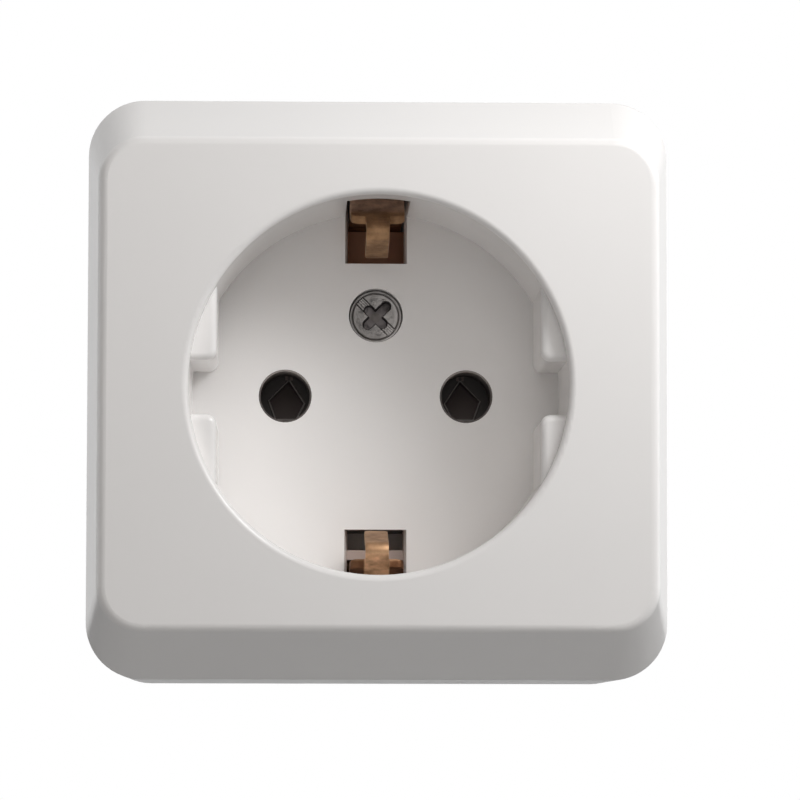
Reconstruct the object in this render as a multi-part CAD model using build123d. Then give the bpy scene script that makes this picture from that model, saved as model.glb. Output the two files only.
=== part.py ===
"""Surface-mounted wall socket with side earth clips and a spring-loaded shutter.

The frame: the origin is the centre of the face that goes on the wall. +X is to the right
as seen from the front, +Z is up, and the front looks along -Y. Sizes are in millimetres.
Depths are counted from the front face towards the wall.
"""
import os
from math import cos, radians, sin

from build123d import *

# Cover: outline, front face and bevel
cover_width = 59.7
cover_height = 59.7
cover_corner = 5.8
side_bevel = 1.45
end_bevel = 4.95
face_corner = 4.5
bevel_depth = 8.0
face_roll = 1.0
skirt_roll = 0.5
cover_wall = 2.0
wall_gap = 0.3

# Recess for the plug
recess_radius = 19.25
recess_draft = 0.1
recess_depth = 17.5
recess_wall = 1.5
floor_wall = 2.0
mouth_roll = 0.7

# Guide ribs at the two sides of the recess
rib_flat = 16.5
rib_above = 2.5
rib_below = 2.95
rib_front = 2.0
rib_roll = 1.0
rib_front_roll = 0.7

# Pins of the plug
pin_spacing = 19.0
pin_diameter = 4.8
pin_length = 19.0
pin_hole_radius = 2.6
room_behind_pins = 5.5

# Windows for the earth clips
window_width = 6.5
window_back_width = 5.9
window_start = 14.0
window_end = 21.5
window_front = 4.1
window_wall = 1.2
bar_start = 16.1
bar_width = 1.0
bar_reach = 4.0

# Screw that holds the cover
screw_height = 8.54
screw_radius = 1.48
screw_clearance = 0.22
screw_sink = 1.6
screw_past_nut = 3.0
head_radius = 2.55
head_height = 1.8
head_roll = 0.35
head_clearance = 0.3
boss_radius = 4.0
cross_width = 0.95
cross_length = 3.6
cross_short = 2.8
cross_depth = 1.5
cross_narrowing = 0.45
slot_width = 0.95
slot_depth = 0.45
slot_turn = -45.0

# Shutter: frame with two collars, and a slider with a ramp pocket at each pin hole
collar_gap = 0.05
collar_front_radius = 2.73
collar_back_radius = 3.6
shutter_plate = 1.4
shutter_wall = 0.8
slider_thickness = 2.7
slider_roll = 0.6
slider_width = 26.2
slider_top = 3.2
slider_bottom = -3.4
slider_travel = 6.0
slider_gap = 0.3
front_gap = 0.15
pocket_top_depth = 2.1
pocket_low_depth = 0.5
pocket_bevel = 0.12
pocket_taper = 0.9
kite_corners = [(0.4, 2.15), (2.0, -0.3), (1.16, -1.95), (-0.98, -1.98), (-1.7, 0.0)]
slit_width = 0.25
slit_length = 0.6
slit_depth = 0.6
spring_radius = 1.1
spring_wire = 0.36
spring_turns = 6
spring_length = 9.8
spring_channel = 2.2
shutter_sink = 2.95
shutter_room = 4.55

# Contact block
block_side_gap = 5.85
block_top = 13.0
block_bottom = -15.8
lug_width = 9.0
block_corner = 1.5

# Pin contacts
contact_gap = 0.05
contact_wall = 0.8
contact_sink = 1.0
contact_slot = 0.8
contact_tab_width = 5.0
spring_band = 0.3
spring_band_sink = 2.5
spring_band_width = 2.5
spring_band_mouth = 60.0
chamber_gap = 0.15
pin_room = 0.5

# Earth strap
sheet = 0.9
strap_width = 5.6
tongue_width = 2.4
strap_gap = 0.15
leg_height = 19.0
crease_depth = 12.6
crest_height = 16.5
crest_depth = 6.4
nose_height = 14.3
nose_depth = 14.6
ear_share = 0.52
ear_roll = 0.8
leg_bend = 1.1
crest_bend = 0.55
arm_width = 4.6

# Terminals: a cage, a clamp plate and a screw each
terminal_inset = 4.1
right_screw_rise = 9.0
earth_drop = 10.0
cage_length = 7.0
cage_height = 8.0
cage_wall = 1.0
cage_top = 1.7
cage_sink = 1.8
cage_gap = 0.2
terminal_screw_radius = 1.73
terminal_head_radius = 2.6
terminal_head_height = 1.6
terminal_head_sink = 0.1
clamp_sink = 4.0
clamp_thickness = 0.8

# Square nut in its slot in the block
nut_size = 5.5
nut_thickness = 2.0
nut_sink = 2.0
nut_gap = 0.1

# Base plate with its rim, fixing slots and cable hole
base_plate = 3.5
base_gap = 0.4
base_corner = 3.4
rim_tall = 5.5
rim_wall = 1.2
slot_inset_x = 10.85
slot_inset_z = 9.35
slot_overall = 7.0
slot_half_width = 1.9
cable_hole_radius = 4.8
cable_hole_from_slot = 9.2
cable_hole_inset = 8.85
knockout_width = 12.0
knockout_length = 11.5
knockout_skin = 0.8
block_screw_radius = 1.25
block_screw_hole = 1.6
block_screw_head = 2.6
block_screw_head_height = 1.8

# Worked out from the driving dimensions
face_width = cover_width - 2 * side_bevel
face_height = cover_height - 2 * end_bevel
pin_tip = recess_depth + pin_length
total_depth = pin_tip + room_behind_pins
floor_back = recess_depth + floor_wall
bar_back = floor_back + bar_reach
shutter_front = floor_back + shutter_sink
block_front = shutter_front + shutter_room
block_width = cover_width - 2 * block_side_gap
terminal_out = block_width / 2 - terminal_inset
base_front = total_depth - base_plate
pin_x = pin_spacing / 2
slider_front = shutter_front + shutter_plate + front_gap
contact_front = block_front + contact_sink
spring_band_front = block_front + spring_band_sink
cage_front = block_front + cage_sink
terminal_head_front = block_front + terminal_head_sink
clamp_front = block_front + clamp_sink
nut_front = block_front + nut_sink
screw_end = nut_front + nut_thickness + screw_past_nut
rim_front = base_front - rim_tall
slot_x = cover_width / 2 - slot_inset_x
slot_z = cover_height / 2 - slot_inset_z
strap_middle = base_front - sheet / 2
strap_front = base_front - sheet
lug_top = leg_height - sheet / 2 - strap_gap
contact_inside = pin_diameter / 2 + contact_gap
contact_outside = contact_inside + contact_wall
chamber_radius = contact_outside + spring_band + chamber_gap
chamber_back = pin_tip + pin_room
tab_front = chamber_back - 2 * sheet - chamber_gap
screw_seat = recess_depth + screw_sink + head_height
block_screw_places = [(-terminal_out, -earth_drop), (terminal_out, right_screw_rise)]
terminals = {"left": (-terminal_out, 0), "right": (terminal_out, 0),
             "earth": (terminal_out, -earth_drop)}


def at_depth(depth):
    """Plane parallel to the wall, looked at from the front, this far behind the front face."""
    return Plane(origin=(0, depth - total_depth, 0), x_dir=(1, 0, 0), z_dir=(0, -1, 0))


def side_plane(x=0.0):
    """Plane whose first direction is up and whose second is depth."""
    return Plane(origin=(x, -total_depth, 0), x_dir=(0, 0, 1), z_dir=(-1, 0, 0))


def level_plane(height):
    """Plane whose first direction is to the right and whose second is depth."""
    return Plane(origin=(0, -total_depth, height), x_dir=(1, 0, 0), z_dir=(0, 0, 1))


def between(sketch, front, back):
    """Solid of a sketch in X and Z, from one depth to another."""
    return extrude(at_depth(back) * sketch, amount=back - front, dir=(0, -1, 0))


def tapered(front_sketch, front, back_sketch, back):
    """Solid that runs straight from one sketch to another."""
    return loft([at_depth(front) * front_sketch, at_depth(back) * back_sketch], ruled=True)


def spot(x, z):
    """Place in a sketch."""
    return Pos(x, z, 0)


def block_of(low_x, high_x, low_z, high_z, front, back):
    """Rectangular solid between its limits."""
    middle = spot((low_x + high_x) / 2, (low_z + high_z) / 2)
    return between(middle * Rectangle(high_x - low_x, high_z - low_z), front, back)


def round_bar(radius, front, back, x=0.0, z=0.0):
    """Cylinder that lies along the depth."""
    return between(spot(x, z) * Circle(radius), front, back)


def depth_of(shape):
    """Depth of a face's or an edge's centre."""
    return shape.center().Y + total_depth


def make_shell():
    """Bevelled front with its skirt, open at the back."""
    face = RectangleRounded(face_width, face_height, face_corner)
    outline = RectangleRounded(cover_width, cover_height, cover_corner)
    skirt_end = total_depth - wall_gap
    outside = tapered(face, 0, outline, bevel_depth) + between(outline, bevel_depth, skirt_end)
    front_edges = [e for e in outside.edges() if depth_of(e) < 0.01]
    outside = fillet(front_edges, face_roll)
    shoulder = [e for e in outside.edges() if abs(depth_of(e) - bevel_depth) < 0.01]
    outside = fillet(shoulder, skirt_roll)
    inner_face = RectangleRounded(face_width - 2 * cover_wall, face_height - 2 * cover_wall,
                                  face_corner - cover_wall)
    inner_outline = RectangleRounded(cover_width - 2 * cover_wall, cover_height - 2 * cover_wall,
                                     cover_corner - cover_wall)
    inner_bevel = bevel_depth + cover_wall / 2
    hollow = tapered(inner_face, cover_wall, inner_outline, inner_bevel)
    return outside - hollow - between(inner_outline, inner_bevel, skirt_end + 1)


def make_window_boxes():
    """Walls round the two windows, behind the wall of the recess."""
    half = window_width / 2 + window_wall
    boxes = []
    for side in (1, -1):
        near = side * recess_radius
        far = side * (window_end + window_wall)
        low, high = min(near, far), max(near, far)
        boxes.append(block_of(-half, half, low, high, window_front - window_wall, floor_back))
    bar_end = -bar_start - bar_width
    boxes.append(block_of(-half, half, bar_end, -bar_start, floor_back - 0.5, bar_back))
    return boxes


def cut_windows(cover):
    """Opens the two windows; a bar crosses the lower one behind the floor."""
    half = window_width / 2
    half_back = window_back_width / 2
    tall = window_end - window_start
    for side in (1, -1):
        low, high = sorted((side * window_start, side * window_end))
        cover -= block_of(-half, half, low, high, window_front, recess_depth)
        cover -= block_of(-half_back, half_back, low, high, recess_depth - 1, bar_back + 1)
        here = spot(0, (low + high) / 2)
        cover -= tapered(here * Rectangle(window_width, tall), recess_depth,
                         here * Rectangle(window_back_width, tall), floor_back)
    bar_end = -bar_start - bar_width
    return cover + block_of(-half - window_wall / 2, half + window_wall / 2, bar_end,
                            -bar_start, floor_back, bar_back)


def make_ribs():
    """Four guide ribs, two at each side of the recess."""
    ribs = []
    inside = Circle(recess_radius + recess_wall / 2)
    for side_x in (1, -1):
        for side_z in (1, -1):
            start = rib_above if side_z > 0 else rib_below
            reach = spot(side_x * (rib_flat + recess_radius / 2),
                         side_z * (start + recess_radius / 2))
            outline = inside & (reach * Rectangle(recess_radius, recess_radius))
            corner = [v for v in outline.vertices()
                      if abs(abs(v.X) - rib_flat) < 0.01 and abs(v.Y) < recess_radius / 3]
            outline = fillet(corner, rib_roll)
            rib = between(outline, rib_front, recess_depth + floor_wall / 2)
            front = [e for e in rib.edges()
                     if abs(depth_of(e) - rib_front) < 0.01
                     and (e.center() - Vector(0, e.center().Y, 0)).length < recess_radius]
            ribs.append(fillet(front, rib_front_roll))
    return ribs


def make_cover():
    """White moulding: bevelled front, plug recess, ribs, windows, screw boss and skirt."""
    cover = make_shell()
    cover += round_bar(recess_radius + recess_wall, cover_wall / 2, floor_back)
    for box in make_window_boxes():
        cover += box
    cover += round_bar(boss_radius, floor_back - 0.5, block_front, z=screw_height)
    mouth = Circle(recess_radius + recess_draft)
    cover -= tapered(mouth, 0, Circle(recess_radius), recess_depth)
    rim = [e for e in cover.edges()
           if depth_of(e) < 0.01 and e.geom_type == GeomType.CIRCLE
           and abs(e.radius - recess_radius - recess_draft) < 0.01]
    cover = fillet(rim, mouth_roll)
    for rib in make_ribs():
        cover += rib
    cover = cut_windows(cover)
    for side in (1, -1):
        front = Circle(collar_front_radius + collar_gap)
        back = Circle(collar_back_radius + collar_gap)
        here = spot(side * pin_x, 0)
        cover -= tapered(here * front, recess_depth, here * back, floor_back)
    cover -= round_bar(head_radius + head_clearance, recess_depth - 1, screw_seat,
                       z=screw_height)
    cover -= round_bar(screw_radius + screw_clearance, screw_seat - 1, block_front + 1,
                       z=screw_height)
    return cut_knockouts(cover)


def cut_knockouts(cover):
    """Thins the top and bottom walls of the skirt where a cable may enter."""
    inner = cover_height / 2 - cover_wall
    outer = cover_height / 2 - knockout_skin
    half = knockout_width / 2
    start = total_depth - wall_gap - knockout_length
    for side in (1, -1):
        low, high = sorted((side * (inner - 1), side * outer))
        cover -= block_of(-half, half, low, high, start + half, total_depth)
        bend = Plane(origin=(0, start + half - total_depth, low), x_dir=(1, 0, 0),
                     z_dir=(0, 0, 1))
        cover -= extrude(bend * Circle(half), amount=high - low)
    return cover


def kite(scale, side):
    """Five-cornered outline of a ramp pocket, mirrored for the other pin hole."""
    points = [(side * u * scale, v * scale) for u, v in kite_corners]
    return Polygon(*points, align=None)


def make_shutter_frame():
    """Black plate with two flush collars, walls round the slider and a channel for the spring."""
    wing = slider_width / 2 + slider_gap
    low = slider_bottom - slider_travel - slider_gap
    high = slider_top + slider_gap
    channel_end = slider_bottom - spring_length
    room = spot(0, (low + high) / 2) * Rectangle(2 * wing, high - low)
    channel = spot(0, (channel_end + low) / 2) * Rectangle(
        2 * spring_channel, low - channel_end)
    hull = spot(0, (low + high) / 2) * Rectangle(
        2 * (wing + shutter_wall), high - low + 2 * shutter_wall)
    hull += spot(0, (channel_end + low) / 2) * Rectangle(
        2 * (spring_channel + shutter_wall), low - channel_end + 2 * shutter_wall)
    frame = between(hull, shutter_front, block_front)
    frame -= between(room + channel, shutter_front + shutter_plate, block_front)
    for side in (1, -1):
        here = spot(side * pin_x, 0)
        frame += tapered(here * Circle(collar_front_radius), recess_depth,
                         here * Circle(collar_back_radius), floor_back)
        frame += round_bar(collar_back_radius, floor_back, shutter_front, x=side * pin_x)
        frame -= round_bar(pin_hole_radius, recess_depth - 1, shutter_front + shutter_plate + 1,
                           x=side * pin_x)
    return frame


def make_shutter_slider():
    """Black bar across both pin holes; a pin on the ramp of a pocket pushes it down."""
    half = slider_width / 2
    back = slider_front + slider_thickness
    slider = block_of(-half, half, slider_bottom, slider_top, slider_front, back)
    upright = [e for e in slider.edges() if abs(depth_of(e) - (slider_front + back) / 2) < 0.01]
    slider = fillet(upright, slider_roll)
    top = max(v for u, v in kite_corners)
    low = min(v for u, v in kite_corners)
    ramp = Polygon((low - 1, slider_front - 1), (top + 1, slider_front - 1),
                   (top + 1, slider_front + pocket_top_depth),
                   (top, slider_front + pocket_top_depth),
                   (low, slider_front + pocket_low_depth),
                   (low - 1, slider_front + pocket_low_depth), align=None)
    wedge = extrude(side_plane() * ramp, amount=half, both=True)
    for side in (1, -1):
        here = spot(-side * pin_x, 0)
        pocket = tapered(here * kite(1.0, side), slider_front,
                         here * kite(pocket_taper, side), slider_front + pocket_top_depth)
        slider -= pocket & wedge
        slider -= tapered(here * kite(1 + pocket_bevel, side), slider_front,
                          here * kite(1.0, side), slider_front + pocket_bevel)
        slit = spot(side * kite_corners[0][0], top + slit_length / 2)
        slider -= between(here * slit * Rectangle(slit_width, slit_length),
                          slider_front - 1, slider_front + slit_depth)
    return slider


def make_shutter_spring():
    """Small coil spring below the slider."""
    pitch = (spring_length - spring_wire) / spring_turns
    helix = Helix(pitch=pitch, height=pitch * spring_turns, radius=spring_radius)
    start = helix @ 0
    section = Plane(origin=start, z_dir=helix % 0) * Circle(spring_wire / 2)
    coil = sweep(section, path=helix, is_frenet=True)
    middle = (shutter_front + shutter_plate + block_front) / 2 - total_depth
    bottom = slider_bottom - spring_length + spring_wire / 2
    return Pos(0, middle, bottom) * coil


def make_block():
    """Insulating block with chambers for the contacts, the strap, the nut and the terminals."""
    middle = spot(0, (block_top + block_bottom) / 2)
    outline = middle * RectangleRounded(block_width, block_top - block_bottom, block_corner)
    block = between(outline, block_front, base_front)
    block += block_of(-lug_width / 2, lug_width / 2, block_top - block_corner, lug_top,
                      block_front, base_front)
    groove = strap_width / 2 + strap_gap
    block -= block_of(-groove, groove, block_bottom - 1, lug_top + 1,
                      strap_front - strap_gap, base_front + 1)
    nut_room = nut_size / 2 + nut_gap
    block -= block_of(-nut_room, nut_room, screw_height - nut_room, lug_top + 1, nut_front,
                      nut_front + nut_thickness)
    block -= round_bar(screw_radius + screw_clearance, block_front - 1, screw_end + 1,
                       z=screw_height)
    tab_room = contact_tab_width / 2 + cage_gap
    for side in (1, -1):
        block -= round_bar(chamber_radius, block_front - 1, chamber_back, x=side * pin_x)
        low, high = sorted((side * pin_x, side * terminal_out))
        block -= block_of(low, high, -tab_room, tab_room, block_front - 1, chamber_back)
    for x, z in terminals.values():
        block -= terminal_room(x, z)
    arm_room = arm_width / 2 + cage_gap
    step_end = terminal_out - cage_length / 2
    block -= block_of(0, step_end, -earth_drop - arm_room, -earth_drop + arm_room,
                      strap_front - strap_gap, base_front + 1)
    block -= block_of(arm_bend_x() - sheet, step_end, -earth_drop - arm_room,
                      -earth_drop + arm_room, tab_front - strap_gap, base_front + 1)
    for x, z in block_screw_places:
        block -= round_bar(block_screw_hole, block_front - 1, base_front + 1, x=x, z=z)
        block -= round_bar(block_screw_head + cage_gap, block_front - 1, rim_front,
                           x=x, z=z)
    return block


def terminal_room(x, z):
    """Pocket for a terminal cage, open towards the side of the block for the wire."""
    side = 1 if x > 0 else -1
    near = x - side * (cage_length / 2 + cage_gap)
    low, high = sorted((near, side * (block_width / 2 + 1)))
    half = cage_height / 2 + cage_gap
    return block_of(low, high, z - half, z + half, block_front - 1, chamber_back)


def arm_bend_x():
    """Place where the arm of the earth strap turns down to its terminal."""
    return terminal_out - cage_length / 2 - 2 * sheet - 1.5


def make_contact(side):
    """Split sleeve for a pin, with a tab that reaches into its terminal."""
    x = side * pin_x
    tab_back = tab_front + sheet
    contact = round_bar(contact_outside, contact_front, tab_back, x=x)
    low, high = sorted((x, side * (terminal_out + cage_length / 2 - 1)))
    half = contact_tab_width / 2
    contact += block_of(low, high, -half, half, tab_front, tab_back)
    contact -= round_bar(contact_inside, contact_front - 1, tab_back + 1, x=x)
    low, high = sorted((x, x - side * (contact_outside + 1)))
    contact -= block_of(low, high, -contact_slot / 2, contact_slot / 2, contact_front - 1,
                        tab_back + 1)
    return contact


def make_contact_spring(side):
    """Steel band that keeps the split sleeve tight."""
    x = side * pin_x
    back = spring_band_front + spring_band_width
    band = round_bar(contact_outside + spring_band, spring_band_front, back, x=x)
    band -= round_bar(contact_outside, spring_band_front - 1, back + 1, x=x)
    reach = chamber_radius + 1
    half = reach * sin(radians(spring_band_mouth / 2))
    along = reach * cos(radians(spring_band_mouth / 2))
    wedge = Polygon((0, 0), (side * along, half), (side * along, -half), align=None)
    return band - between(spot(x, 0) * wedge, spring_band_front - 1, back + 1)


def swept_strip(plane, points, bends, width):
    """Folded sheet strip of one width; the line of points is the middle of the sheet."""
    line = plane * FilletPolyline(*points, radius=bends)
    section = Plane(origin=line @ 0, x_dir=plane.z_dir, z_dir=line % 0)
    return sweep(section * Rectangle(width, sheet), path=line)


def tongue_cut(side_x, back, low, high, roll):
    """Cuts one side of a strip down to the tongue, as far back as the given depth."""
    beside = strap_width / 2 + 1
    middle = (tongue_width / 2 + beside) / 2
    outline = Pos(side_x * middle, back / 2) * Rectangle(beside - tongue_width / 2, back)
    corner = [v for v in outline.vertices()
              if abs(v.X) < middle and abs(v.Y - back) < 0.01]
    outline = fillet(corner, roll)
    return extrude(level_plane(low) * outline, amount=high - low)


def make_earth_strap():
    """One brass strip: a leg behind the block, a clip at each end and an arm to its terminal."""
    ear_height = crest_height + (leg_height - crest_height) * ear_share
    ear_depth = crest_depth + (crease_depth - crest_depth) * ear_share
    strap = None
    for side in (1, -1):
        clip = [(0, strap_middle), (side * leg_height, strap_middle),
                (side * leg_height, crease_depth), (side * crest_height, crest_depth),
                (side * nose_height, nose_depth)]
        clip = swept_strip(side_plane(), clip, [leg_bend, leg_bend, crest_bend], strap_width)
        inside, outside = sorted((side * (nose_height - 1), side * (ear_height - sheet)))
        near, far = sorted((side * (nose_height - 1), side * window_end))
        for side_x in (1, -1):
            clip -= tongue_cut(side_x, ear_depth, near, far, ear_roll)
            clip -= tongue_cut(side_x, nose_depth + 1, inside, outside, ear_roll / 4)
        strap = clip if strap is None else strap + clip
    bend_x = arm_bend_x()
    tab_middle = tab_front + sheet / 2
    arm = [(0, strap_middle), (bend_x, strap_middle), (bend_x, tab_middle),
           (terminal_out + cage_length / 2 - 1, tab_middle)]
    return strap + swept_strip(level_plane(-earth_drop), arm, [leg_bend, leg_bend], arm_width)


def make_terminal(x, z):
    """Brass cage that is open at both sides, with a threaded hole for its screw."""
    back = tab_front + sheet + cage_wall
    half_x, half_z = cage_length / 2, cage_height / 2
    cage = block_of(x - half_x, x + half_x, z - half_z, z + half_z, cage_front, back)
    outside = [e for e in cage.edges() if abs(e.center().X - x) < 0.01]
    cage = fillet(outside, 0.6)
    inside = half_z - cage_wall
    cage -= block_of(x - half_x - 1, x + half_x + 1, z - inside, z + inside,
                     cage_front + cage_top, tab_front + sheet)
    cage -= round_bar(terminal_screw_radius + 0.02, cage_front - 1, cage_front + cage_top + 1,
                      x=x, z=z)
    return cage


def make_wire_clamp(x, z):
    """Small plate that the terminal screw presses on the wire."""
    half_x = cage_length / 2 - cage_gap
    half_z = cage_height / 2 - cage_wall - cage_gap
    plate = block_of(x - half_x, x + half_x, z - half_z, z + half_z, clamp_front,
                     clamp_front + clamp_thickness)
    groove = at_depth(clamp_front + clamp_thickness)
    for place in (-1.5, 0, 1.5):
        line = Pos(x + place, z) * Rectangle(0.4, 2 * half_z)
        plate -= extrude(groove * line, amount=0.25)
    return plate


def slotted_screw(x, z, head_front, head_tall, head_wide, shank, end, turn=0.0):
    """Screw with a rounded cheese head and one slot."""
    head = round_bar(head_wide, head_front, head_front + head_tall, x=x, z=z)
    front = [e for e in head.edges() if abs(depth_of(e) - head_front) < 0.01]
    head = fillet(front, head_tall * 0.25)
    slot = spot(x, z) * Rot(0, 0, turn) * Rectangle(3 * head_wide, 0.8)
    head -= between(slot, head_front - 1, head_front + head_tall * 0.45)
    body = round_bar(shank, head_front + head_tall * 0.6, end, x=x, z=z)
    tip = [e for e in body.edges() if abs(depth_of(e) - end) < 0.01]
    return head + chamfer(tip, shank * 0.3)


def make_terminal_screws():
    """Terminal screws, each a solid of its own."""
    turns = {"left": 20.0, "right": -35.0, "earth": 70.0}
    screws = [slotted_screw(x, z, terminal_head_front, terminal_head_height,
                            terminal_head_radius, terminal_screw_radius, clamp_front,
                            turns[name]) for name, (x, z) in terminals.items()]
    return Compound(children=screws)


def make_block_screws():
    """Screws that hold the block on the base, each a solid of its own."""
    head_front = rim_front - block_screw_head_height
    screws = [slotted_screw(x, z, head_front, block_screw_head_height, block_screw_head,
                            block_screw_radius - 0.02, total_depth - 1, 45.0 * x / abs(x))
              for x, z in block_screw_places]
    return Compound(children=screws)


def make_cover_screw():
    """Screw with a rounded head that takes a cross or a flat driver."""
    front = recess_depth + screw_sink
    head = round_bar(head_radius, front, screw_seat, z=screw_height)
    edge = [e for e in head.edges() if abs(depth_of(e) - front) < 0.01]
    head = fillet(edge, head_roll)
    here = spot(0, screw_height)
    for turn, length in ((slot_turn, cross_short), (slot_turn + 90, cross_length)):
        wide = here * Rot(0, 0, turn) * Rectangle(length, cross_width)
        small = here * Rot(0, 0, turn) * Rectangle(length * cross_narrowing,
                                                   cross_width * cross_narrowing)
        head -= tapered(wide, front, small, front + cross_depth)
    slot = here * Rot(0, 0, slot_turn) * Rectangle(3 * head_radius, slot_width)
    head -= between(slot, front - 1, front + slot_depth)
    shank = round_bar(screw_radius, screw_seat - 0.1, screw_end, z=screw_height)
    tip = [e for e in shank.edges() if abs(depth_of(e) - screw_end) < 0.01]
    return head + chamfer(tip, screw_radius * 0.35)


def make_cover_nut():
    """Square nut that sits in a slot of the block."""
    half = nut_size / 2
    back = nut_front + nut_thickness
    nut = block_of(-half, half, screw_height - half, screw_height + half, nut_front, back)
    return nut - round_bar(screw_radius + 0.02, nut_front - 1, back + 1, z=screw_height)


def make_base():
    """Plate on the wall with a rim inside the cover, fixing slots and a cable hole."""
    wide = cover_width - 2 * cover_wall - 2 * base_gap
    tall = cover_height - 2 * cover_wall - 2 * base_gap
    outline = RectangleRounded(wide, tall, base_corner)
    inside = RectangleRounded(wide - 2 * rim_wall, tall - 2 * rim_wall, base_corner - rim_wall)
    base = between(outline, rim_front, total_depth) - between(inside, rim_front - 1, base_front)
    half = knockout_width / 2 + 0.5
    base -= block_of(-half, half, -tall, tall, rim_front - 1, base_front)
    for side_x in (1, -1):
        for side_z in (1, -1):
            slot = spot(side_x * slot_x, side_z * slot_z)
            slot = slot * SlotOverall(slot_overall, 2 * slot_half_width)
            base -= between(slot, base_front - 1, total_depth + 1)
    base -= round_bar(cable_hole_radius, base_front - 1, total_depth + 1,
                      x=cable_hole_from_slot - slot_x, z=cable_hole_inset - cover_height / 2)
    for x, z in block_screw_places:
        base -= round_bar(block_screw_radius, base_front - 1, total_depth - 0.8, x=x, z=z)
    return base


def make_all():
    """Every piece by its name."""
    pieces = {
        "cover": make_cover(),
        "base": make_base(),
        "contact_block": make_block(),
        "shutter_frame": make_shutter_frame(),
        "shutter_slider": make_shutter_slider(),
        "shutter_spring": make_shutter_spring(),
        "earth_strap": make_earth_strap(),
        "terminal_screws": make_terminal_screws(),
        "block_screws": make_block_screws(),
        "cover_screw": make_cover_screw(),
        "cover_nut": make_cover_nut(),
    }
    for name, side in (("left", -1), ("right", 1)):
        pieces[f"contact_{name}"] = make_contact(side)
        pieces[f"contact_spring_{name}"] = make_contact_spring(side)
    for name, (x, z) in terminals.items():
        pieces[f"terminal_{name}"] = make_terminal(x, z)
        pieces[f"wire_clamp_{name}"] = make_wire_clamp(x, z)
    return pieces


def main():
    """Writes one file for each piece."""
    os.makedirs("parts", exist_ok=True)
    for name, piece in make_all().items():
        export_step(piece, f"parts/{name}.step")


main()
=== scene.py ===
"""Looks of a surface-mounted wall socket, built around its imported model.

The plastics, brass and zinc get procedural materials. The earth strap and the cover screw are
drawn again with finer edges. The camera stands a little to the left of the socket and below
it, as the photographer did. Lengths are in metres where no comment says millimetres.
"""
from math import cos, degrees, pi, radians, sin, sqrt, tan

import bmesh
import bpy
from mathutils import Matrix, Vector


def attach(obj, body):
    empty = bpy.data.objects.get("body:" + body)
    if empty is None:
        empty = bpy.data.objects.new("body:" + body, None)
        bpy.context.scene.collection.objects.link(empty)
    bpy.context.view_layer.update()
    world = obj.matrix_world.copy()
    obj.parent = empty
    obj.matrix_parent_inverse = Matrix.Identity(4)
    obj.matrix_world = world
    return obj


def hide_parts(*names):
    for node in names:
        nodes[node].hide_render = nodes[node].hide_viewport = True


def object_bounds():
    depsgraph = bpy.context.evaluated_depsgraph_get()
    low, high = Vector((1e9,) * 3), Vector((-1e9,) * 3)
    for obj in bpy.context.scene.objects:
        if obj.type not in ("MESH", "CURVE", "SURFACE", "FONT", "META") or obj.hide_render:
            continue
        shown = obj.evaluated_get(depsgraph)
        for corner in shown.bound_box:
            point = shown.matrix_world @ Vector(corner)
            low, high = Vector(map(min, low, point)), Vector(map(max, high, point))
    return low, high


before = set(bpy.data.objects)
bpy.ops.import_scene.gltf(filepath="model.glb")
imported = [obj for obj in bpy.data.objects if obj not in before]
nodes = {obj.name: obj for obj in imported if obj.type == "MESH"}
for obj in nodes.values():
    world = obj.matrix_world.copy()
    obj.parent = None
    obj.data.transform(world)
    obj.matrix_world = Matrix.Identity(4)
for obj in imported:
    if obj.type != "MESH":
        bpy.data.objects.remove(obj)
cad_low, cad_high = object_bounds()

# Front of the socket, recess floor, and faces of the slider and of the screw's head
front_y = cad_low.y
middle = Vector((0, front_y, 0))
floor_y = front_y + 0.0175
slider_y = front_y + 0.024
screw_y = front_y + 0.0191
screw_z = 0.00854

# Camera, as fitted to the photograph
camera_left = 0.00946
camera_below = 0.03578
camera_distance = 0.4652
camera_yaw = radians(1.426)
camera_pitch = radians(4.194)
camera_roll = radians(0.114)
camera_lens = 207.39

# Angles in degrees from which an edge is sharp, for the CAD nodes, the strap and the screw
cad_sharp = 28
strap_sharp = 40
screw_sharp = 50

# Painted shade on the bar and the walls of the windows in the cover, behind the recess floor
window_depth = (floor_y + 0.0006, floor_y + 0.0022)
window_half = (0.0042, 0.0036)
window_low = (0.0132, 0.0136)
window_high = (0.0228, 0.0234)

# Painted shade with a brass-coloured reflection on the upper lug of the contact block
lug_height = (0.011, 0.014)

# Painted light on the upper walls of the pin holes
wall_depth = (floor_y + 0.006, floor_y + 0.002)
wall_height = (0.0005, 0.0022)

# Slider: its face, the painted highlight on the rim of the pockets and the painted light on the
# two bars beside each slit
face_depth = (slider_y + 0.00008, slider_y + 0.00002)
rim_front = (slider_y + 0.00002, slider_y + 0.00006)
rim_back = (slider_y + 0.0003, slider_y + 0.0005)
slit_x = 0.0091
bar_half = (0.00042, 0.00036)
bar_low = (0.0021, 0.0022)
bar_high = (0.0027, 0.0029)

# Screw's metal: limits, from its face into the head and from its middle outwards, of painted
# light, painted shade and dents
slot_front = (0.0003, 0.00036)
slot_back = (0.0005, 0.0006)
slot_reach = (0.00245, 0.0024)
cross_front = (0.0007, 0.0009)
cross_middle = (0.00056, 0.0005)
head_rim = (0.00246, 0.00256)
dents_inner = (0.0009, 0.0014)
dents_outer = (0.0018, 0.0022)
ridge_spacing = 0.00034

# Strap's metal: heights and widths of painted shade on the upper clip, painted light at its top,
# a darker lower clip, painted light below the lower fold and painted shade on the lower ears
# beside the tongue
upper_clip = (-0.005, 0.012)
upper_top = (0.0183, 0.0192)
lower_clip = (-0.005, -0.012)
lower_fold = (-0.0166, -0.017)
lower_ears = (-0.017, -0.0177)
beside_tongue = (0.0012, 0.0014)

# Screw head in millimetres: its size, how closely it is meshed, and its shank
head_radius = 2.8
head_height = 1.8
head_step = 0.045
head_turns = 180
shank_radius = 1.48
shank_taper = 0.3

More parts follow.
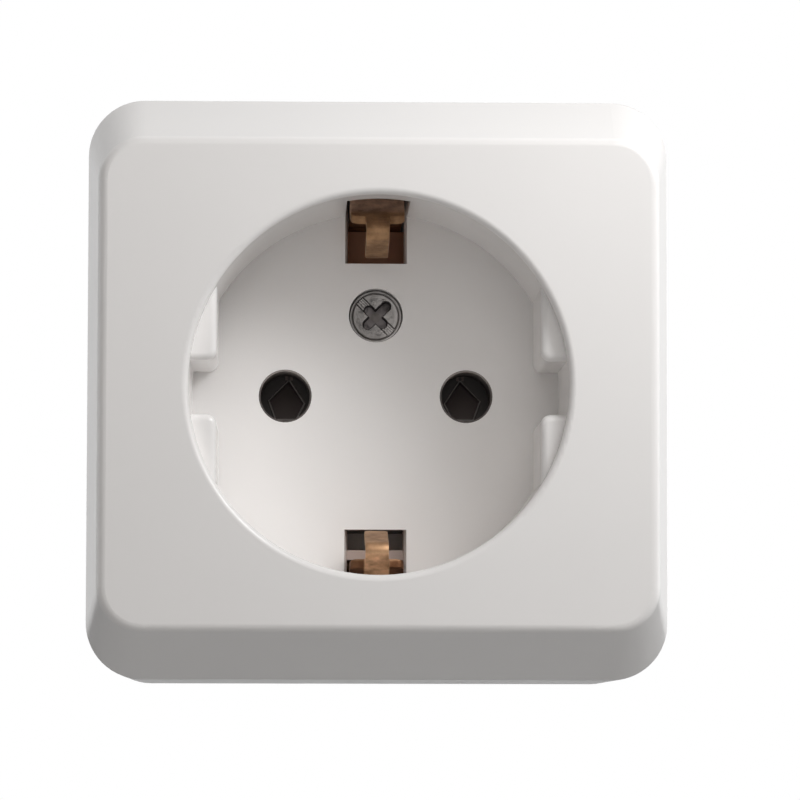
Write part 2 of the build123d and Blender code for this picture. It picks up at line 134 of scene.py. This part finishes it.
# Depth and limits of the groove, rim, slot and cross in the head, in millimetres
groove = (0.2, 2.36, 2.46)
rim = (-0.08, 2.48, 2.56)
rolled_edge = (0.25, 2.66, 2.8)
slot = (0.4, 0.54, 0.46)
slot_end = (2.48, 2.4)
cross = (1.2, 0.56, 0.45)

# Ends of the cross's arms in millimetres: those in the slot and the other two
slot_arms = (-1.0, 1.05)
long_arms = (-1.15, 1.55)

# Earth strap in millimetres: height and depth of its bends from the lower tip to the upper one
strap_points = [(-14.7, 14.6), (-16.5, 6.4), (-19.0, 12.6), (-19.0, 38.05), (19.0, 38.05),
                (19.0, 22.0), (20.2, 13.0), (16.1, 6.4), (14.7, 14.6)]
strap_bends = [0.48, 0.9, 1.1, 1.1, 2.0, 0.9, 0.48]
strap_half = 2.8
tongue_half = 1.2
tip_cut = 0.2
low_ear = 10.0
high_ear = 9.9
ear_roll = 0.7
inner_roll = 0.35

# Arm to the earth terminal in millimetres: distance to the side and depth of its bends
arm_points = [(1.0, 38.05), (13.1, 38.05), (13.1, 35.5), (22.4, 35.5)]
arm_bends = [1.1, 1.1]
arm_half = 2.3
arm_drop = 10.0

# Sheet in millimetres: half its thickness, its rounded edges, and how closely it is meshed
sheet_half = 0.45
edge_roll = 0.1
sheet_step = 0.25
fine_step = 0.05
fine_count = 14
just_before = 0.002
bend_step = 6

# Lamps: direction from the socket in degrees, distance and size in metres, watts, colour
white = (1.0, 1.0, 1.0)
warm = (1.0, 0.96, 0.925)
lamps = {
    "key_up": (40, 40, 0.14, 0.05, 0.0505, white),
    "key_right": (50, 35, 0.14, 0.05, 0.0494, white),
    "side": (60, 30, 0.6, 0.35, 0.8, white),
    "front": (0, 0, 0.6, 0.35, 0.29, warm),
    "front_high": (0, 30, 0.6, 0.35, 0.547, warm),
    "top": (0, 95, 0.3, 0.15, 0.05, white),
    "left": (-100, 0, 0.3, 0.15, 0.07, white),
    "left_high": (-110, 35, 0.3, 0.15, 0.085, white),
    "right": (110, -4, 0.3, 0.15, 0.13, white),
}

# Soft light from each side of the world, by axis and sign
soft_light = {("Y", 1): 0.2, ("Z", 1): 0.04, ("X", 1): 0.04, ("X", -1): 0.04}

# Where the world turns from dark at the photographer's side to white, and how dark it is there
dark_side = (-0.85, 0.0)
dark_strength = 0.22

# The floor lies below the socket, which hangs on its wall
floor_drop = 0.12
floor_half = 1.2
floor_grey = 0.6


def new_material(name):
    """Empty node material and its shader."""
    material = bpy.data.materials.new(name)
    material.use_nodes = True
    tree = material.node_tree
    return material, tree, tree.nodes["Principled BSDF"]


def new_object(name, data):
    """Object in the scene's own collection."""
    thing = bpy.data.objects.new(name, data)
    bpy.context.scene.collection.objects.link(thing)
    return thing


def noise(tree, scale, detail=4.0, roughness=0.5, stretch=(1, 1, 1)):
    """Noise in the object's own coordinates; the scale is per metre."""
    place = tree.nodes.new("ShaderNodeTexCoord")
    mapping = tree.nodes.new("ShaderNodeMapping")
    mapping.inputs["Scale"].default_value = stretch
    texture = tree.nodes.new("ShaderNodeTexNoise")
    texture.inputs["Scale"].default_value = scale
    texture.inputs["Detail"].default_value = detail
    texture.inputs["Roughness"].default_value = roughness
    tree.links.new(place.outputs["Object"], mapping.inputs["Vector"])
    tree.links.new(mapping.outputs["Vector"], texture.inputs["Vector"])
    return texture.outputs["Fac"]


def along(tree, axis, coordinates="Object"):
    """Place on one axis: of the shared frame for a piece, of the direction for the world."""
    place = tree.nodes.new("ShaderNodeTexCoord")
    axes = tree.nodes.new("ShaderNodeSeparateXYZ")
    tree.links.new(place.outputs[coordinates], axes.inputs["Vector"])
    return axes.outputs[axis]


def compute(tree, operation, *values):
    """Result of a math node on sockets and numbers."""
    node = tree.nodes.new("ShaderNodeMath")
    node.operation = operation
    for socket, value in zip(node.inputs, values):
        if isinstance(value, (int, float)):
            socket.default_value = value
        else:
            tree.links.new(value, socket)
    return node.outputs[0]


def size_of(tree, axis):
    """Distance from zero on one axis."""
    return compute(tree, "ABSOLUTE", along(tree, axis))


def product(tree, first, *others):
    """All factors multiplied."""
    for other in others:
        first = compute(tree, "MULTIPLY", first, other)
    return first


def step(tree, value, limits, start=0.0, end=1.0):
    """Goes smoothly from the start at the first limit to the end at the second."""
    node = tree.nodes.new("ShaderNodeMapRange")
    node.interpolation_type = "SMOOTHSTEP"
    node.inputs["From Min"].default_value = limits[0]
    node.inputs["From Max"].default_value = limits[1]
    node.inputs["To Min"].default_value = start
    node.inputs["To Max"].default_value = end
    tree.links.new(value, node.inputs["Value"])
    return node.outputs["Result"]


def band(tree, value, rising, falling):
    """Rises to 1 over the first limits and falls back to 0 over the last."""
    return product(tree, step(tree, value, rising), step(tree, value, falling[::-1]))


def spread(tree, factor, low, high):
    """Maps a factor of 0 to 1 to a range."""
    node = tree.nodes.new("ShaderNodeMapRange")
    node.inputs["To Min"].default_value = low
    node.inputs["To Max"].default_value = high
    tree.links.new(factor, node.inputs["Value"])
    return node.outputs["Result"]


def ramp(tree, factor, stops):
    """Colour ramp with (place, colour) stops."""
    node = tree.nodes.new("ShaderNodeValToRGB")
    for element, (place, colour) in zip(node.color_ramp.elements, stops):
        element.position = place
        element.color = (*colour, 1.0)
    tree.links.new(factor, node.inputs["Fac"])
    return node.outputs["Color"]


def shade(tree, factor, colour):
    """Multiplies the base colour by another colour where the factor is 1."""
    shader = tree.nodes["Principled BSDF"]
    mix = tree.nodes.new("ShaderNodeMix")
    mix.data_type = "RGBA"
    mix.blend_type = "MULTIPLY"
    mix.inputs["B"].default_value = (*colour, 1.0)
    tree.links.new(factor, mix.inputs["Factor"])
    tree.links.new(shader.inputs["Base Color"].links[0].from_socket, mix.inputs["A"])
    tree.links.new(mix.outputs["Result"], shader.inputs["Base Color"])


def bump(tree, shader, height, distance, strength, edge=0.0):
    """Bump of the given depth in metres, on edges that look rounded by the given radius."""
    node = tree.nodes.new("ShaderNodeBump")
    node.inputs["Distance"].default_value = distance
    node.inputs["Strength"].default_value = strength
    tree.links.new(height, node.inputs["Height"])
    if edge:
        rounded = tree.nodes.new("ShaderNodeBevel")
        rounded.samples = 6
        rounded.inputs["Radius"].default_value = edge
        tree.links.new(rounded.outputs["Normal"], node.inputs["Normal"])
    tree.links.new(node.outputs["Normal"], shader.inputs["Normal"])


def plastic(name, colour, roughness):
    """Moulded plastic with a fine grain and slightly uneven gloss."""
    material, tree, shader = new_material(name)
    darker = tuple(0.985 * c for c in colour)
    mottle = ramp(tree, noise(tree, 90.0, 2.0), [(0.2, darker), (0.8, colour)])
    tree.links.new(mottle, shader.inputs["Base Color"])
    gloss = spread(tree, noise(tree, 160.0, 2.0), roughness * 0.93, roughness * 1.07)
    tree.links.new(gloss, shader.inputs["Roughness"])
    shader.inputs["IOR"].default_value = 1.5
    bump(tree, shader, noise(tree, 2600.0, 2.0), 0.000004, 0.6)
    return material


def metal(name, dark, light, roughness, stretch=(1, 1, 1), grain=0.00001, edge=0.0):
    """Rolled or plated metal with stains, streaks and uneven gloss."""
    material, tree, shader = new_material(name)
    stain = ramp(tree, noise(tree, 420.0, 6.0, 0.6), [(0.35, dark), (0.62, light)])
    tree.links.new(stain, shader.inputs["Base Color"])
    streaks = noise(tree, 2200.0, 4.0, 0.6, stretch)
    gloss = spread(tree, streaks, roughness * 0.7, roughness * 1.35)
    tree.links.new(gloss, shader.inputs["Roughness"])
    shader.inputs["Metallic"].default_value = 1.0
    bump(tree, shader, streaks, grain, 0.8, edge)
    return material


def cover_plastic():
    """White plastic, with painted shade on the bar and the walls of the windows behind the floor.
    """
    material = plastic("white_plastic", (0.94, 0.924, 0.913), 0.26)
    tree = material.node_tree
    deep = step(tree, along(tree, "Y"), window_depth)
    inner = step(tree, size_of(tree, "X"), window_half)
    window = band(tree, size_of(tree, "Z"), window_low, window_high)
    # painted shade: darkens the bar and the window walls behind the floor
    shade(tree, product(tree, deep, inner, window), (0.52, 0.43, 0.395))
    return material


def block_plastic():
    """Insulating plastic, near white as painted light on its shaded front, with painted shade and
    a painted brass-coloured reflection on its upper lug.
    """
    # near-white colour: painted light on the block's shaded front, lighter than its own dark
    # plastic
    material = plastic("block_plastic", (0.95, 0.86, 0.8), 0.5)
    tree = material.node_tree
    # painted shade and brass-coloured reflection on the upper lug
    shade(tree, step(tree, along(tree, "Z"), lug_height), (0.8, 0.42, 0.26))
    return material


def frame_plastic():
    """Black plastic, with painted light that makes the upper walls of the pin holes greyer."""
    material = plastic("black_plastic", (0.1, 0.085, 0.08), 0.45)
    tree = material.node_tree
    upper = product(tree, step(tree, along(tree, "Y"), wall_depth),
                    step(tree, along(tree, "Z"), wall_height))
    # painted light on the upper walls of the pin holes
    shade(tree, upper, (3.2, 3.4, 3.4))
    return material


def slider_plastic():
    """Black plastic painted lighter in its pockets as painted light, its face darkened back to
    its own colour, with painted highlights at the pockets' rims and painted light beside the
    slits.
    """
    # colour lighter than the plastic's own: painted light in the pockets
    material = plastic("slider_plastic", (0.13, 0.105, 0.1), 0.5)
    tree = material.node_tree
    depth = along(tree, "Y")
    face = step(tree, depth, face_depth)
    # the face is darkened back to the plastic's own dark colour
    shade(tree, face, (0.24, 0.21, 0.19))
    # painted highlight on the pockets' rims
    shade(tree, band(tree, depth, rim_front, rim_back), (3.4, 4.0, 4.1))
    across = compute(tree, "SUBTRACT", size_of(tree, "X"), slit_x)
    beside = step(tree, compute(tree, "ABSOLUTE", across), bar_half)
    bars = product(tree, beside, band(tree, along(tree, "Z"), bar_low, bar_high), face)
    # painted light on the bars beside each slit
    shade(tree, bars, (7.0, 7.6, 8.0))
    return material


def screw_metal():
    """Aged zinc: painted light in the slot with fine ridges along it and painted shade between
    them, painted light at the head's rim, painted shade in the cross with a slightly darker,
    warmer middle, and dents round the cross.
    """
    material = metal("screw_zinc", (0.165, 0.158, 0.153), (0.34, 0.328, 0.323), 0.42,
                     grain=0.00002, edge=0.00004)
    tree = material.node_tree
    depth = compute(tree, "SUBTRACT", along(tree, "Y"), screw_y)
    across = along(tree, "X")
    up = compute(tree, "SUBTRACT", along(tree, "Z"), screw_z)
    squares = compute(tree, "ADD", product(tree, across, across), product(tree, up, up))
    away = compute(tree, "SQRT", squares)
    beside = compute(tree, "ADD", across, up)
    wave = compute(tree, "SINE", product(tree, beside, 2 * pi / ridge_spacing))
    in_slot = product(tree, band(tree, depth, slot_front, slot_back),
                      step(tree, away, slot_reach))
    ridges = product(tree, wave, in_slot)
    in_cross = step(tree, depth, cross_front)
    # painted light in the slot
    shade(tree, in_slot, (1.7, 1.7, 1.7))
    # painted light at the head's rim, which lies in the shade of the hole
    shade(tree, step(tree, away, head_rim), (1.4, 1.4, 1.4))
    # painted shade between the slot's ridges
    shade(tree, step(tree, ridges, (0.1, 0.6)), (0.5, 0.5, 0.5))
    # painted shade in the cross
    shade(tree, in_cross, (0.42, 0.4, 0.41))
    # slightly darker and warmer at the middle of the cross
    shade(tree, product(tree, in_cross, step(tree, away, cross_middle)), (0.85, 0.85, 0.81))
    dents = compute(tree, "SUBTRACT", noise(tree, 1300.0, 3.0), 0.5)
    dents = product(tree, dents, band(tree, away, dents_inner, dents_outer))
    relief = tree.nodes["Bump"].inputs["Height"]
    height = compute(tree, "ADD", relief.links[0].from_socket, product(tree, ridges, 0.8))
    tree.links.new(compute(tree, "ADD", height, product(tree, dents, 20.0)), relief)
    return material


def strap_metal():
    """Brass with painted shade on the upper clip, painted light at its top, darker at the lower
    clip, painted light below the lower fold and painted shade on the lower ears.
    """
    material = metal("strap_brass", (0.34, 0.215, 0.13), (0.68, 0.48, 0.31), 0.58,
                     (0.2, 1, 1), 0.000014)
    tree = material.node_tree
    height = along(tree, "Z")
    # painted shade on the upper clip, which lies in the rim's shadow
    shade(tree, step(tree, height, upper_clip), (0.8, 0.7, 0.6))
    # painted light, greyer, at the top of the upper clip
    shade(tree, step(tree, height, upper_top), (1.7, 2.1, 3.0))
    # darker and browner at the lower clip
    shade(tree, step(tree, height, lower_clip), (0.78, 0.69, 0.62))
    # painted light on the lower clip below its fold
    shade(tree, step(tree, height, lower_fold), (1.75, 1.85, 1.95))
    # painted shade on the lower ears beside the tongue
    ears = product(tree, step(tree, size_of(tree, "X"), beside_tongue),
                   step(tree, height, lower_ears))
    shade(tree, ears, (0.22, 0.17, 0.15))
    return material


def dress(material, *names):
    """Gives CAD nodes their material and smooth rounded edges."""
    for name in names:
        mesh = nodes[name].data
        mesh.materials.clear()
        mesh.materials.append(material)
        mesh.shade_smooth()
        mesh.set_sharp_from_angle(angle=radians(cad_sharp))


def dress_nodes():
    """Materials of all the CAD nodes."""
    dress(cover_plastic(), "cover")
    dress(plastic("base_plastic", (0.66, 0.66, 0.65), 0.5), "base")
    dress(frame_plastic(), "shutter_frame")
    dress(slider_plastic(), "shutter_slider")
    dress(block_plastic(), "contact_block")
    brass = metal("brass", (0.26, 0.14, 0.07), (0.55, 0.36, 0.21), 0.42, (0.2, 1, 1),
                  0.000012, 0.0001)
    dress(brass, "contact_left", "contact_right", "terminal_left", "terminal_right",
          "terminal_earth")
    zinc = metal("zinc_steel", (0.22, 0.215, 0.21), (0.4, 0.39, 0.38), 0.33, edge=0.00006)
    dress(zinc, "cover_nut", "terminal_screws", "block_screws", "wire_clamp_left",
          "wire_clamp_right", "wire_clamp_earth")
    spring = metal("spring_steel", (0.30, 0.30, 0.30), (0.48, 0.48, 0.48), 0.3)
    dress(spring, "shutter_spring", "contact_spring_left", "contact_spring_right")


def mesh_piece(name, vertices, faces, sharp_from, material):
    """Object with smooth faces, and sharp edges from an angle in degrees."""
    mesh = bpy.data.meshes.new(name)
    mesh.from_pydata(vertices, [], faces)
    turned = bmesh.new()
    turned.from_mesh(mesh)
    bmesh.ops.recalc_face_normals(turned, faces=turned.faces)
    turned.to_mesh(mesh)
    turned.free()
    mesh.shade_smooth()
    mesh.set_sharp_from_angle(angle=radians(sharp_from))
    mesh.materials.append(material)
    return new_object(name, mesh)


def bent_line(points, radii):
    """Flat line with rounded corners, in millimetres, as closely spaced points."""
    points = [Vector(p) for p in points]
    line = [points[0]]
    for before, corner, after, radius in zip(points, points[1:], points[2:], radii):
        to_before = (before - corner).normalized()
        to_after = (after - corner).normalized()
        half = to_before.angle(to_after) / 2
        centre = corner + (to_before + to_after).normalized() * (radius / sin(half))
        first = corner + to_before * (radius / tan(half)) - centre
        last = corner + to_after * (radius / tan(half)) - centre
        turn = first.angle(last)
        count = max(4, int(degrees(turn) / bend_step))
        for k in range(count + 1):
            t = k / count
            line.append(centre + (first * sin((1 - t) * turn) + last * sin(t * turn)) / sin(turn))
    return line + [points[-1]]


def line_length(line):
    """Length of a line of points."""
    return sum((b - a).length for a, b in zip(line, line[1:]))


def along_line(line, places):
    """Points of the line at the given lengths from its start, each with its direction."""
    found = []
    walked = 0.0
    places = list(places)
    for start, end in zip(line, line[1:]):
        length = (end - start).length
        while places and places[0] <= walked + length + 1e-9:
            t = (places.pop(0) - walked) / length
            found.append((start.lerp(end, t), (end - start).normalized()))
        walked += length
    return found


def clip_half_width(place, ear):
    """Half of the strap's width at a length from the tip of a clip."""
    if place < ear - inner_roll:
        return tongue_half - max(0.0, tip_cut - place)
    if place < ear:
        past = place - (ear - inner_roll)
        return tongue_half + inner_roll - sqrt(max(0.0, inner_roll ** 2 - past ** 2))
    past = min(place - ear, ear_roll)
    return strap_half - ear_roll + sqrt(max(0.0, ear_roll ** 2 - (ear_roll - past) ** 2))


def strap_half_width(place, total):
    """Half of the strap's width at a length from its lower tip."""
    if place < total / 2:
        return clip_half_width(place, low_ear)
    return clip_half_width(total - place, high_ear)


def sheet_piece(name, line, dense, half_width, placed, material):
    """Bent sheet with rounded edges; dense lists lengths where its width changes fast."""
    total = line_length(line)
    places = {0.0, edge_roll, total - edge_roll, total}
    places |= {k * sheet_step for k in range(1, int(total / sheet_step))}
    for place in dense:
        places |= {place + k * fine_step for k in range(-fine_count, fine_count + 1)}
        places.add(place - just_before)
    places = sorted(places)
    rounded = [(0.0, edge_roll), (0.3 * edge_roll, 0.3 * edge_roll), (edge_roll, 0.0)]
    vertices, faces = [], []
    for place, (centre, heading) in zip(places, along_line(line, places)):
        half = half_width(place, total)
        side = Vector((-heading.y, heading.x))
        thick = sheet_half - max(0.0, edge_roll - min(place, total - place))
        for sign_x, sign_s in ((1, 1), (-1, 1), (-1, -1), (1, -1)):
            corner = rounded if sign_x * sign_s > 0 else rounded[::-1]
            for less_x, less_s in corner:
                spot = centre + side * sign_s * (thick - less_s)
                vertices.append(placed(spot, sign_x * (half - less_x)))
    ring = 4 * len(rounded)
    count = len(vertices) // ring
    for k in range(count - 1):
        for j in range(ring):
            a, b = k * ring + j, k * ring + (j + 1) % ring
            faces.append((a, b, b + ring, a + ring))
    faces.append(tuple(range(ring - 1, -1, -1)))
    faces.append(tuple(range((count - 1) * ring, count * ring)))
    piece = mesh_piece(name, vertices, faces, strap_sharp, material)
    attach(piece, "housing")
    return piece


def on_strap(spot, across):
    """Place of a strap's point, given in millimetres as height, depth and side."""
    return (across / 1000, spot.y / 1000 + front_y, spot.x / 1000)


def on_arm(spot, across):
    """Place of an arm's point, given in millimetres as side, depth and height."""
    return (spot.x / 1000, spot.y / 1000 + front_y, (across - arm_drop) / 1000)


def make_strap():
    """The earth strap and its arm as sheets with rounded edges, in place of their CAD node."""
    material = strap_metal()
    line = bent_line(strap_points, strap_bends)
    dense = (low_ear, line_length(line) - high_ear)
    strap = sheet_piece("strap_sheet", line, dense, strap_half_width, on_strap, material)
    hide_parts("earth_strap")
    sheet_piece("strap_arm", bent_line(arm_points, arm_bends), (),
                lambda place, total: arm_half, on_arm, material)


def rise(value, low, high):
    """Rises smoothly from 0 at the first limit to 1 at the second."""
    t = min(1.0, max(0.0, (value - low) / (high - low)))
    return t * t * (3 - 2 * t)


def arm_distance(along_arm, beside_arm, back, ahead):
    """Distance from the middle line of two opposite arms of the cross."""
    past = max(0.0, back - along_arm, along_arm - ahead)
    return sqrt(past ** 2 + beside_arm ** 2)


def head_depth(across, up):
    """Depth of the screw head's front, in millimetres: rim, slot and cross."""
    away = sqrt(across ** 2 + up ** 2)
    down = (across - up) / sqrt(2)
    beside = (across + up) / sqrt(2)
    outer = groove[0] * rise(away, *groove[1:]) + rim[0] * rise(away, *rim[1:])
    outer += rolled_edge[0] * rise(away, *rolled_edge[1:]) ** 2
    slotted = slot[0] * rise(abs(beside), *slot[1:]) * rise(away, *slot_end)
    near = min(arm_distance(down, beside, *slot_arms), arm_distance(beside, down, *long_arms))
    return max(outer, slotted, cross[0] * rise(near, *cross[1:]))


def make_screw():
    """Cover screw with a rimmed head and a round-ended cross, in place of its node."""
    low_y, high_y = (pick(v.co.y for v in nodes["cover_screw"].data.vertices)
                     for pick in (min, max))
    end = (high_y - low_y) * 1000
    turns = [2 * pi * k / head_turns for k in range(head_turns)]
    rings = int(head_radius / head_step)
    radii = [head_step * k for k in range(1, rings + 1)] + [head_radius]
    vertices = [(0.0, head_depth(0.0, 0.0), 0.0)]
    for radius in radii:
        for a in turns:
            x, z = radius * cos(a), radius * sin(a)
            vertices.append((x, head_depth(x, z), z))
    for radius, depth in ((head_radius, head_height), (shank_radius, head_height),
                          (shank_radius, end - shank_taper), (shank_radius - shank_taper, end)):
        for a in turns:
            vertices.append((radius * cos(a), depth, radius * sin(a)))
    faces = [(0, 1 + k, 1 + (k + 1) % head_turns) for k in range(head_turns)]
    for start in range(1, len(vertices) - head_turns, head_turns):
        for k in range(head_turns):
            a, b = start + k, start + (k + 1) % head_turns
            faces.append((a, a + head_turns, b + head_turns, b))
    faces.append(tuple(range(len(vertices) - head_turns, len(vertices))))
    placed = [(x / 1000, y / 1000 + low_y, z / 1000 + screw_z) for x, y, z in vertices]
    screw = mesh_piece("screw", placed, faces, screw_sharp, screw_metal())
    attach(screw, "housing")
    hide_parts("cover_screw")


def make_camera():
    """Camera at the photographer's place."""
    data = bpy.data.cameras.new("camera")
    data.lens = camera_lens
    data.sensor_width = 36.0
    data.clip_start = 0.01
    data.clip_end = 20.0
    camera = new_object("camera", data)
    forward = Vector((sin(camera_yaw) * cos(camera_pitch), cos(camera_yaw) * cos(camera_pitch),
                      sin(camera_pitch)))
    right = forward.cross(Vector((0, 0, 1))).normalized()
    up = right.cross(forward)
    tilted_right = right * cos(camera_roll) + up * sin(camera_roll)
    tilted_up = up * cos(camera_roll) - right * sin(camera_roll)
    turn = Matrix((tilted_right, tilted_up, -forward)).transposed()
    place = middle + Vector((-camera_left, -camera_distance, -camera_below))
    camera.matrix_world = Matrix.Translation(place) @ turn.to_4x4()
    bpy.context.scene.camera = camera


def make_lamp(name, azimuth, elevation, distance, size, power, colour):
    """Square soft lamp that looks at the socket's front; azimuth 0 is straight in front."""
    data = bpy.data.lights.new(name, "AREA")
    data.shape = "SQUARE"
    data.size = size
    data.energy = power
    data.color = colour
    lamp = new_object(name, data)
    a, e = radians(azimuth), radians(elevation)
    out = Vector((sin(a) * cos(e), -cos(a) * cos(e), sin(e)))
    lamp.location = middle + out * distance
    lamp.rotation_mode = "QUATERNION"
    lamp.rotation_quaternion = out.to_track_quat("Z", "Y")


def seen_directly(tree):
    """Factor that is 1 for camera, glossy and transmission rays."""
    rays = tree.nodes.new("ShaderNodeLightPath").outputs
    seen = compute(tree, "MAXIMUM", rays["Is Camera Ray"], rays["Is Glossy Ray"])
    return compute(tree, "MAXIMUM", seen, rays["Is Transmission Ray"])


def make_world():
    """White behind the socket, darker where the photographer stands, soft uneven light on it."""
    world = bpy.data.worlds.new("world")
    bpy.context.scene.world = world
    world.use_nodes = True
    tree = world.node_tree
    background = tree.nodes["Background"]
    background.inputs["Color"].default_value = (1, 1, 1, 1)
    shown = step(tree, along(tree, "Y", "Generated"), dark_side, dark_strength, 1.0)
    light = 0.0
    for (axis, sign), strength in soft_light.items():
        side = step(tree, along(tree, axis, "Generated"), (0.0, sign))
        light = compute(tree, "ADD", light, product(tree, side, strength))
    strength = tree.nodes.new("ShaderNodeMix")
    tree.links.new(seen_directly(tree), strength.inputs["Factor"])
    tree.links.new(light, strength.inputs["A"])
    tree.links.new(shown, strength.inputs["B"])
    tree.links.new(strength.outputs["Result"], background.inputs["Strength"])


def make_floor():
    """Pale floor under the socket, seen only from above."""
    half = floor_half
    height = cad_low.z - floor_drop
    corners = [(-half, -half, height), (half, -half, height), (half, half, height),
               (-half, half, height)]
    mesh = bpy.data.meshes.new("floor")
    mesh.from_pydata(corners, [], [(0, 1, 2, 3)])
    floor = new_object("floor", mesh)
    material, tree, shader = new_material("floor")
    shader.inputs["Base Color"].default_value = (floor_grey, floor_grey, floor_grey, 1)
    shader.inputs["Roughness"].default_value = 0.7
    clear = tree.nodes.new("ShaderNodeBsdfTransparent")
    mix = tree.nodes.new("ShaderNodeMixShader")
    side = tree.nodes.new("ShaderNodeNewGeometry")
    tree.links.new(side.outputs["Backfacing"], mix.inputs["Fac"])
    tree.links.new(shader.outputs["BSDF"], mix.inputs[1])
    tree.links.new(clear.outputs["BSDF"], mix.inputs[2])
    tree.links.new(mix.outputs["Shader"], tree.nodes["Material Output"].inputs["Surface"])
    mesh.materials.append(material)


dress_nodes()
make_strap()
make_screw()
make_camera()
for lamp_name, values in lamps.items():
    make_lamp(lamp_name, *values)
make_world()
make_floor()
bpy.context.scene.view_settings.view_transform = "Standard"
